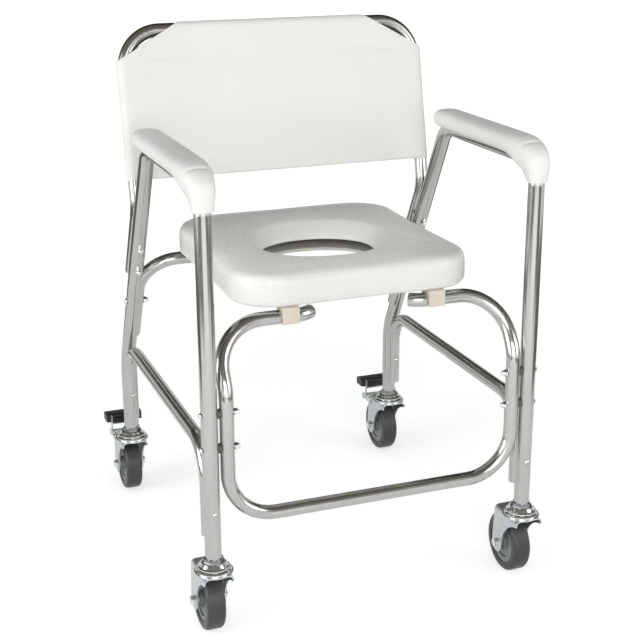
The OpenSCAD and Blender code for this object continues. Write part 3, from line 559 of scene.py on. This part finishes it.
def on_back(x, out, up):
    """A point of the cover's own frame: across, out behind the back's plane, and up along it."""
    turned = Matrix.Rotation(-RECLINE, 3, "X") @ Vector((x, out, up))
    return BACK_TOP + turned


def cover_limit(up):
    """Half the cover's width at a height, less what the corner cuts take."""
    if up <= -CUT_H:
        return COVER_EDGE
    return COVER_EDGE - CUT_W * (up + CUT_H) / (CUT_H + CUT_TOP)


def cover_depth(x):
    over = abs(x) - LEG_X
    return COVER_R if over <= 0 else math.sqrt(max(0.0, COVER_R ** 2 - over ** 2))


def cover_folds(x, up, side):
    """How far the cloth stands in from a flat panel: its belly, the corners' folds and a faint wave."""
    low = smooth(-up / BELLY_START)
    ease = 1 - EASE_SHARE * smooth((-up - EASE_FROM) / EASE_SPAN)
    belly = BELLY * (1 - (x / LEG_X) ** 2) * low * ease
    fold = 0.0
    for s in (-1, 1):
        dx, dy = s * x - (LEG_X - FOLD_IN), up + CUT_H
        far = math.hypot(dx, dy)
        angle = math.degrees(math.atan2(dy, -dx))
        for at, wide, deep, reach in FOLDS:
            fold += deep * bell((angle - at) / wide) * bell(far / reach) * smooth(far / FOLD_START)
    wave = WAVE * math.sin(x * WAVE_ACROSS + WAVE_SIDE * side) * math.sin(up * WAVE_UP + WAVE_START) * low
    keep = smooth((LEG_X - FLAT_EDGE - abs(x)) / FLAT_SPAN)
    return (belly + fold + wave) * keep


def cover_out(x, up, side):
    """How far the cloth's front (side -1) or back (side 1) stands behind the back's plane."""
    if side < 0:
        return -cover_depth(x) + cover_folds(x, up, side)
    return cover_depth(x) - BACK_FOLD_SHARE * cover_folds(x, up, side)


def cover_heights():
    """Heights up one side of the cover, from its lower edge to the top tube."""
    low = [-COVER_LEN + k * (COVER_LEN - CUT_H) / LOW_ROWS for k in range(LOW_ROWS + 1)]
    return low + [-CUT_H + k * CUT_H / CUT_ROWS for k in range(1, CUT_ROWS + 1)]


def cover_columns():
    """Shares of the half width, closer together round the side tubes."""
    flat = [k / FLAT_COLUMNS * (LEG_X / COVER_EDGE) for k in range(FLAT_COLUMNS + 1)]
    turns = [math.pi / 2 * k / EDGE_COLUMNS for k in range(1, EDGE_COLUMNS + 1)]
    half = flat + [(LEG_X + COVER_R * math.sin(t)) / COVER_EDGE for t in turns]
    return [-t for t in reversed(half[1:])] + half


def make_cover():
    columns = cover_columns()
    heights = cover_heights()
    rows = []
    for up in heights:
        rows.append([(x, cover_out(x, up, -1), up) for x in (t * cover_limit(up) for t in columns)])
    for k in range(1, BEND_ROWS):
        a = math.pi * k / BEND_ROWS
        up = COVER_R * math.sin(a)
        rows.append([(t * cover_limit(up), -COVER_R * math.cos(a), up) for t in columns])
    for up in reversed(heights):
        rows.append([(x, cover_out(x, up, 1), up) for x in (t * cover_limit(up) for t in columns)])
    n = len(columns)
    faces = [(i * n + j, i * n + j + 1, (i + 1) * n + j + 1, (i + 1) * n + j)
             for i in range(len(rows) - 1) for j in range(n - 1)]
    obj = new_mesh("back_cover_cloth", [on_back(*p) for row in rows for p in row], faces)
    tidy_normals(obj)
    thick = obj.modifiers.new("cloth", "SOLIDIFY")
    thick.thickness = COVER_T
    thick.offset = 0.0
    apply_modifiers(obj)
    return obj


cover = make_cover()
paint(cover, cover_cloth)
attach(cover, "frame")
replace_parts(cover, "back_cover")

# Stitches along the cover's hems: their spacing, length, radius and height over the cloth
STITCH_STEP, STITCH_LEN, STITCH_R, STITCH_LIFT, STITCH_SIDES = 4.2, 2.8, 0.32, 0.55, 6
# Each ring of a stitch: how far along it lies, and its share of the radius
STITCH_RINGS = [(0.0, 0.35), (0.25, 1.0), (0.75, 1.0), (1.0, 0.35)]
# The lower hem's height, its pieces and how far its ends stay off, then the same for the cut corners' hems
HEM, HEM_PIECES, HEM_END = 13.0, 24, 8.0
CUT_HEM, CUT_HEM_START, CUT_HEM_STEP, CUT_HEM_POINTS = 9.0, 6.0, 4.0, 11


def cover_point(x, up, side):
    """A point just over the cover's front (side -1) or back."""
    return on_back(x, cover_out(x, up, side) + side * STITCH_LIFT, up)


def stitch(a, b, first):
    """One stitch from a to b: its points, and its faces counted from the first point's index."""
    along = (b - a).normalized()
    across = along.cross(Vector((0, 1, 0))).normalized()
    out = across.cross(along)
    n = STITCH_SIDES
    turns = [2 * math.pi * q / n for q in range(n)]
    points = [mix(a, b, share) + STITCH_R * size * (math.cos(t) * across + math.sin(t) * out)
              for share, size in STITCH_RINGS for t in turns]
    last = (len(STITCH_RINGS) - 1) * n
    faces = []
    for base in range(first, first + last, n):
        for q in range(n):
            w = (q + 1) % n
            faces.append((base + q, base + w, base + n + w, base + n + q))
    faces.append(tuple(first + q for q in range(n - 1, -1, -1)))
    faces.append(tuple(first + last + q for q in range(n)))
    return points, faces


def stitch_row(name, line, side):
    """Short stitches along a line of (x, up) points on the cover."""
    points, faces = [], []
    for (x0, u0), (x1, u1) in zip(line, line[1:]):
        span = math.hypot(x1 - x0, u1 - u0)
        for k in range(int(span / STITCH_STEP)):
            ends = [(k * STITCH_STEP + e) / span for e in (0.0, STITCH_LEN)]
            a, b = (cover_point(mix(x0, x1, t), mix(u0, u1, t), side) for t in ends)
            more_points, more_faces = stitch(a, b, len(points))
            points += more_points
            faces += more_faces
    obj = new_mesh(name, points, faces)
    tidy_normals(obj)
    paint(obj, thread)
    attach(obj, "frame")


hem_half = LEG_X - HEM_END
hem_line = [(mix(-hem_half, hem_half, k / HEM_PIECES), -COVER_LEN + HEM) for k in range(HEM_PIECES + 1)]
cut_ups = [-CUT_H + CUT_HEM_START + k * CUT_HEM_STEP for k in range(CUT_HEM_POINTS)]
for name, side in (("front", -1), ("back", 1)):
    stitch_row("cover_hem_stitches_" + name, hem_line, side)
    for s, word in ((-1, "left"), (1, "right")):
        cut_line = [(s * (cover_limit(up) - CUT_HEM), up) for up in cut_ups]
        stitch_row("cover_cut_stitches_" + name + "_" + word, cut_line, side)


# Arm pads: foam round the arm tube, turned down over the front bend into a narrower nose
PAD_HALF, PAD_LOW, PAD_HIGH = 26.0, -5.0, 26.5
# How far the tail reaches past the arm's straight run, and how long its rounded end is
PAD_TAIL, PAD_END = 14.0, 24.0
PAD_Z = ARM_Z + 5.5
# Points round a section, and how square it is
PAD_SIDES, PAD_POWER = 48, 2.7
BEND_Y, BEND_Z = FRONT_Y + ARM_BEND_R, PAD_Z - ARM_BEND_R
# Each row of the tail: how far along its rounded end, then the section's share
TAIL_ROWS = [(0.0, 0.30), (0.04, 0.52), (0.14, 0.72), (0.34, 0.88), (0.62, 0.965), (1.0, 1.0)]
# Each row: how far along the run or the turn, then half width, depth below and height over the pad's line
RUN_ROWS = [(0.0, PAD_HALF, PAD_LOW, PAD_HIGH), (0.35, PAD_HALF, PAD_LOW, PAD_HIGH),
            (0.7, PAD_HALF, PAD_LOW, PAD_HIGH), (0.82, 26.0, -5.6, 26.4), (0.91, 26.0, -8.0, 26.4),
            (0.965, 25.9, -12.5, 26.2), (1.0, 25.6, -16.5, 25.9)]
NOSE_ROWS = [(0.0, 25.6, -16.5, 25.9), (0.15, 25.0, -19.5, 25.2), (0.3, 23.6, -20.4, 25.6),
             (0.46, 21.6, -20.0, 26.6), (0.59, 20.2, -19.0, 25.8), (0.76, 18.4, -17.2, 20.2),
             (0.89, 17.0, -15.4, 16.4), (1.0, 16.0, -14.0, 14.8)]
# Each row of the nose's rounded end: the section's share and how far it drops
NOSE_END_ROWS = [(0.985, 0.8), (0.93, 1.3)]
CREASE_AT, CREASE_WIDE, CREASE_DEEP = 0.25, 0.035, 2.4


def power(v):
    return math.copysign(abs(v) ** (2.0 / PAD_POWER), v)


def pad_ring(s, y, z, angle, half, low, high, crease=0.0):
    """A section with rounded corners, square to the pad's line."""
    points = []
    for j in range(PAD_SIDES):
        t = 2 * math.pi * j / PAD_SIDES
        b = mix(low, high, 0.5 + 0.5 * power(math.sin(t))) - crease * max(0.0, math.sin(t)) ** 2
        x = s * LEG_X + half * power(math.cos(t))
        points.append((x, y + b * math.cos(angle), z + b * math.sin(angle)))
    return points


def make_pad(s, name):
    tail_y = ARM_REAR_Y + PAD_TAIL
    mid, tall = (PAD_HIGH + PAD_LOW) / 2, (PAD_HIGH - PAD_LOW) / 2
    level = math.pi / 2
    rings = []
    for place, k in spline(TAIL_ROWS, 3)[:-1]:
        rings.append(pad_ring(s, tail_y - PAD_END * place, PAD_Z, level, k * PAD_HALF,
                              mid - k * tall, mid + k * tall))
    for place, half, low, high in spline(RUN_ROWS, 5)[:-1]:
        rings.append(pad_ring(s, mix(tail_y - PAD_END, BEND_Y, place), PAD_Z, level, half, low, high))
    for turn, half, low, high in spline(NOSE_ROWS, 8):
        a = level * (1 + turn)
        crease = CREASE_DEEP * bell((turn - CREASE_AT) / CREASE_WIDE)
        rings.append(pad_ring(s, BEND_Y + ARM_BEND_R * math.cos(a), BEND_Z + ARM_BEND_R * math.sin(a), a,
                              half, low, high, crease))
    last = rings[-1]
    centre = [sum(p[k] for p in last) / len(last) for k in range(3)]
    for share, drop in NOSE_END_ROWS:
        rings.append([(mix(centre[0], p[0], share), mix(centre[1], p[1], share), p[2] - drop) for p in last])
    obj = rings_mesh(name, rings, closed_ends=True)
    tidy_normals(obj)
    paint(obj, pad_skin)
    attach(obj, "frame")
    return obj


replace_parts(make_pad(-1, "left_arm_pad_skin"), "left_arm_pad")
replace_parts(make_pad(1, "right_arm_pad_skin"), "right_arm_pad")


# Front loop: as the solid is, but its top ends in two open seat arms, as in the photograph
BAR_SIDES = 36
BEND_STEP = math.radians(4)
SHARP_EDGE = math.radians(40)
CLIP_INNER_X = 106.0
ARM_TURN, ARM_TURN_R, ARM_STUB = math.radians(38), 32.0, 4.0


def rounded_path(corners, radii):
    """Points along straight runs, with each inner corner rounded to its radius."""
    path = [corners[0]]
    for a, b, c, r in zip(corners, corners[1:], corners[2:], radii):
        u, v = (a - b).normalized(), (c - b).normalized()
        turn = math.pi - u.angle(v)
        reach = r * math.tan(turn / 2)
        centre = b + (u + v).normalized() * (r / math.cos(turn / 2))
        start = b + u * reach - centre
        axis = u.cross(v).normalized()
        count = max(2, round(turn / BEND_STEP))
        path += [centre + Matrix.Rotation(-turn * k / count, 3, axis) @ start for k in range(count + 1)]
    return path + [corners[-1]]


def pipe(name, path, outer, inner, sides):
    """A hollow round tube along points in millimetres, open at both ends."""
    along = (path[1] - path[0]).normalized()
    side = along.orthogonal().normalized()
    frames = []
    for i, p in enumerate(path):
        heading = (path[min(i + 1, len(path) - 1)] - path[max(i - 1, 0)]).normalized()
        side = along.rotation_difference(heading) @ side
        side = (side - heading * side.dot(heading)).normalized()
        along = heading
        frames.append((p, side, along.cross(side)))

    def ring(place, r):
        p, a, b = place
        turns = (2 * math.pi * k / sides for k in range(sides))
        return [p + r * (math.cos(t) * a + math.sin(t) * b) for t in turns]

    rings = [ring(f, outer) for f in frames] + [ring(f, inner) for f in reversed(frames)]
    obj = rings_mesh(name, rings, closed_rings=True)
    tidy_normals(obj)
    obj.data.set_sharp_from_angle(angle=SHARP_EDGE)
    return obj


def make_loop():
    lean_z = LOOP_BEND_Z + LOOP_BACK_R * math.tan(LOOP_LEAN / 2)
    turn_reach = ARM_TURN_R * math.tan(ARM_TURN / 2)
    turn_x = CLIP_INNER_X - turn_reach
    stub = turn_reach + ARM_STUB
    end_x, end_y = turn_x - stub * math.cos(ARM_TURN), SEAT_BAR_Y + stub * math.sin(ARM_TURN)
    half = [Vector((LOOP_X, FRONT_Y, LOOP_LOW)), Vector((LOOP_X, FRONT_Y, lean_z)),
            Vector((LOOP_X, SEAT_BAR_Y, SEAT_BAR_Z)), Vector((turn_x, SEAT_BAR_Y, SEAT_BAR_Z)),
            Vector((end_x, end_y, SEAT_BAR_Z))]
    radii = [LOOP_CORNER_R, LOOP_BACK_R, LOOP_CORNER_R, ARM_TURN_R]
    mirrored = [Vector((-p.x, p.y, p.z)) for p in reversed(half)]
    path = rounded_path(mirrored + half, radii[::-1] + radii)
    obj = pipe("front_loop_tube", path, BAR_R, BAR_R - BAR_WALL, BAR_SIDES)
    paint(obj, tube)
    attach(obj, "frame")
    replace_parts(obj, "front_loop")


make_loop()


# Stage: a pale floor, and a soft studio that is dimmer above and behind
VIEWER = (-0.35, -0.94, 0.0)
UPWARD = (0, 0, 1)
LEFTWARD = (-1.0, -0.2, 0.0)
KEY_FROM, SIDE_FROM, FILL_FROM = (-0.6, -3.0, 1.35), (-2.9, -0.45, 1.0), (2.3, -2.0, 1.3)
FLOOR_SIZE, FLOOR_DROP, FLOOR_FADE = 40.0, -0.0004, 6.0
FLOOR_GREY, MIRROR_SHARE = 0.82, 0.5
SHELL_R, SHELL_STRENGTH, WORLD_STRENGTH = 7.0, 1.35, 1.25

# Ramps: each stop is a place from 0 to 1 and a grey or a colour
FLOOR_GLOW = [(0.0, 0.5), (0.15, 0.55), (0.5, 0.78), (1.0, 0.9)]
SHELL_WALLS = [(0.0, 0.95), (0.51, 0.95), (0.60, (0.62, 0.61, 0.59)), (0.70, (0.30, 0.29, 0.265)),
               (0.82, (0.15, 0.14, 0.12)), (1.0, (0.12, 0.112, 0.095))]
SHELL_REAR = [(0.0, (0.20, 0.19, 0.17)), (0.34, (0.30, 0.29, 0.27)), (0.52, 0.85), (0.62, 1.0), (1.0, 1.0)]
SHELL_SWEEP = [(0.0, 0.5), (0.62, 0.5), (0.68, 0.0), (1.0, 0.0)]
WORLD_ABOVE = [(0.0, 0.7), (0.5, 0.8), (0.72, 0.5), (1.0, 0.38)]
WORLD_AHEAD = [(0.0, 0.72), (0.5, 0.85), (1.0, 1.0)]
WORLD_LEFT = [(0.0, 0.74), (0.5, 0.76), (1.0, 1.0)]
# Softboxes in the shell: where each is, and where its edge starts and ends
SOFTBOXES = [(SIDE_FROM, 0.955, 0.985), (FILL_FROM, 0.965, 0.99)]
# Each dim band: from and to an angle off the viewer's side, and from and to a distance
DIM_BANDS = [(64, 296, 1.25, 2.7), (34, 64, 1.9, 4.6), (296, 344, 1.9, 4.6)]
DIM_COLOUR, DIM_HEIGHT, DIM_STEP = (0.15, 0.143, 0.125, 1), 2.0, 4


def ramp(tree, value, stops):
    """A colour ramp of greys, or of colours, over a value."""
    node = tree.nodes.new("ShaderNodeValToRGB")
    marks = node.color_ramp.elements
    while len(marks) < len(stops):
        marks.new(0.5)
    for mark, (place, shade) in zip(marks, stops):
        mark.position = place
        mark.color = (*(shade if isinstance(shade, tuple) else (shade,) * 3), 1)
    tree.links.new(value, node.inputs["Fac"])
    return node.outputs["Color"]


def blend_node(tree, how, a, b):
    node = tree.nodes.new("ShaderNodeMix")
    node.data_type = "RGBA"
    node.blend_type = how
    for k, v in ((0, 1.0), (6, a), (7, b)):
        feed(tree, node.inputs[k], v)
    return node.outputs[2]


def vector_node(tree, how, vector):
    node = tree.nodes.new("ShaderNodeVectorMath")
    node.operation = how
    tree.links.new(vector, node.inputs[0])
    return node


def facing(tree, vector, way):
    """How far a direction points the given way, from 0 to 1."""
    dot = vector_node(tree, "DOT_PRODUCT", vector)
    dot.inputs[1].default_value = Vector(way).normalized()
    return math_node(tree, "MULTIPLY_ADD", dot.outputs["Value"], 0.5, 0.5)


def glow_material(name):
    """A material that only glows, with its tree and its glow to be set."""
    m = bpy.data.materials.new(name)
    m.use_nodes = True
    t = m.node_tree
    t.nodes.clear()
    out = t.nodes.new("ShaderNodeOutputMaterial")
    glow = t.nodes.new("ShaderNodeEmission")
    t.links.new(glow.outputs[0], out.inputs["Surface"])
    return m, t, glow


def floor_material():
    """Matt and pale, with a glow for what looks at it, so that it reads white and keeps its shadows."""
    m, t, glow = glow_material("floor")
    matt = t.nodes.new("ShaderNodeBsdfDiffuse")
    matt.inputs["Color"].default_value = (FLOOR_GREY, FLOOR_GREY, FLOOR_GREY, 1)
    path = t.nodes.new("ShaderNodeLightPath")
    far = vector_node(t, "LENGTH", t.nodes.new("ShaderNodeTexCoord").outputs["Object"])
    share = math_node(t, "DIVIDE", far.outputs["Value"], FLOOR_FADE)
    t.links.new(ramp(t, share, FLOOR_GLOW), glow.inputs["Color"])
    mirrored = math_node(t, "MULTIPLY", path.outputs["Is Glossy Ray"], MIRROR_SHARE)
    seen = math_node(t, "MAXIMUM", path.outputs["Is Camera Ray"], mirrored)
    t.links.new(math_node(t, "MAXIMUM", seen, path.outputs["Is Transmission Ray"]), glow.inputs["Strength"])
    add = t.nodes.new("ShaderNodeAddShader")
    t.links.new(matt.outputs[0], add.inputs[0])
    t.links.new(glow.outputs[0], add.inputs[1])
    t.links.new(add.outputs[0], t.nodes["Material Output"].inputs["Surface"])
    return m


def make_floor():
    h = FLOOR_SIZE / 2
    mesh = bpy.data.meshes.new("floor")
    mesh.from_pydata([(-h, -h, 0), (h, -h, 0), (h, h, 0), (-h, h, 0)], [], [(0, 1, 2, 3)])
    obj = add_object("floor", mesh)
    obj.location = (0, 0, FLOOR_DROP)
    paint(obj, floor_material())


def only_in_reflections(obj):
    obj.visible_camera = obj.visible_diffuse = obj.visible_shadow = obj.visible_transmission = False


def studio_shell():
    """A dome that only reflections see: a dim ceiling and rear wall, bright softboxes in front."""
    bm = bmesh.new()
    bmesh.ops.create_uvsphere(bm, u_segments=48, v_segments=24, radius=SHELL_R)
    mesh = bpy.data.meshes.new("studio_shell")
    bm.to_mesh(mesh)
    bm.free()
    obj = add_object("studio_shell", mesh)
    m, t, glow = glow_material("studio_shell")
    way = vector_node(t, "NORMALIZE", t.nodes.new("ShaderNodeTexCoord").outputs["Object"]).outputs["Vector"]
    high = facing(t, way, UPWARD)
    shade = blend_node(t, "MULTIPLY", ramp(t, high, SHELL_WALLS), ramp(t, facing(t, way, VIEWER), SHELL_REAR))
    shade = blend_node(t, "LIGHTEN", shade, ramp(t, high, SHELL_SWEEP))
    for place, low, full in SOFTBOXES:
        box = ramp(t, facing(t, way, place), [(0.0, 0.0), (low, 0.0), (full, 1.0), (1.0, 1.0)])
        shade = blend_node(t, "LIGHTEN", shade, box)
    t.links.new(shade, glow.inputs["Color"])
    glow.inputs["Strength"].default_value = SHELL_STRENGTH
    paint(obj, m)
    only_in_reflections(obj)


def dim_floor():
    """Dim bands on the floor, which only reflections see: the room beyond the pale sweep."""
    points, faces = [], []
    for start, stop, near, distant in DIM_BANDS:
        steps = round((stop - start) / DIM_STEP)
        first = len(points)
        for k in range(steps + 1):
            a = math.radians(mix(start, stop, k / steps)) + math.atan2(VIEWER[1], VIEWER[0])
            for r in (near, distant):
                points.append((r * math.cos(a) / MM, r * math.sin(a) / MM, DIM_HEIGHT))
        for k in range(first, first + 2 * steps, 2):
            faces.append((k, k + 1, k + 3, k + 2))
    obj = new_mesh("dim_floor", points, faces)
    m, _, glow = glow_material("dim_floor")
    glow.inputs["Color"].default_value = DIM_COLOUR
    paint(obj, m)
    only_in_reflections(obj)


def make_world():
    """Soft light, dimmer above and to the right; what looks at the world directly sees white."""
    world = bpy.data.worlds.new("studio")
    bpy.context.scene.world = world
    world.use_nodes = True
    t = world.node_tree
    t.nodes.clear()
    out = t.nodes.new("ShaderNodeOutputWorld")
    path = t.nodes.new("ShaderNodeLightPath")
    sky = t.nodes.new("ShaderNodeTexCoord").outputs["Generated"]
    above = ramp(t, facing(t, sky, UPWARD), WORLD_ABOVE)
    ahead_of = ramp(t, facing(t, sky, VIEWER), WORLD_AHEAD)
    leftward = ramp(t, facing(t, sky, LEFTWARD), WORLD_LEFT)
    light = blend_node(t, "MULTIPLY", blend_node(t, "MULTIPLY", above, ahead_of), leftward)
    lit = t.nodes.new("ShaderNodeBackground")
    t.links.new(light, lit.inputs["Color"])
    lit.inputs["Strength"].default_value = WORLD_STRENGTH
    shown = t.nodes.new("ShaderNodeBackground")
    shown.inputs["Color"].default_value = (1, 1, 1, 1)
    pick = t.nodes.new("ShaderNodeMixShader")
    direct = math_node(t, "MAXIMUM", path.outputs["Is Camera Ray"], path.outputs["Is Glossy Ray"])
    t.links.new(math_node(t, "MAXIMUM", direct, path.outputs["Is Transmission Ray"]), pick.inputs[0])
    t.links.new(lit.outputs[0], pick.inputs[1])
    t.links.new(shown.outputs[0], pick.inputs[2])
    t.links.new(pick.outputs[0], out.inputs["Surface"])


def area_light(name, place, aim, size, watts):
    data = bpy.data.lights.new(name, "AREA")
    data.shape = "RECTANGLE"
    data.size, data.size_y = size
    data.energy = watts
    obj = add_object(name, data)
    obj.location = place
    obj.rotation_mode = "QUATERNION"
    obj.rotation_quaternion = (Vector(aim) - Vector(place)).to_track_quat("-Z", "Y")


make_floor()
studio_shell()
dim_floor()
make_world()
area_light("key", KEY_FROM, (0, 0, 0.5), (1.8, 1.6), 37)
area_light("side", SIDE_FROM, (0, 0, 0.5), (1.8, 1.6), 34)
area_light("fill", FILL_FROM, (0, 0, 0.45), (1.5, 1.6), 17)

# Camera at the photograph's viewing angle
CAMERA_AT = (-0.74828, -2.04765, 1.10974)
YAW, PITCH, ROLL = 0.360775, 0.317862, -0.003828
FOCAL_PX, FRAME_PX, SENSOR_MM = 1324.31, 640.0, 36.0


def make_camera():
    ahead = Vector((math.sin(YAW) * math.cos(PITCH), math.cos(YAW) * math.cos(PITCH), -math.sin(PITCH)))
    right = Vector((math.cos(YAW), -math.sin(YAW), 0))
    over = right.cross(ahead)
    c, s = math.cos(ROLL), math.sin(ROLL)
    right, over = c * right + s * over, -s * right + c * over
    data = bpy.data.cameras.new("camera")
    data.sensor_width = SENSOR_MM
    data.lens = FOCAL_PX / FRAME_PX * SENSOR_MM
    camera = add_object("camera", data)
    camera.rotation_mode = "QUATERNION"
    camera.rotation_quaternion = Matrix((right, over, -ahead)).transposed().to_quaternion()
    camera.location = CAMERA_AT
    bpy.context.scene.camera = camera


make_camera()
bpy.context.scene.view_settings.view_transform = "Standard"
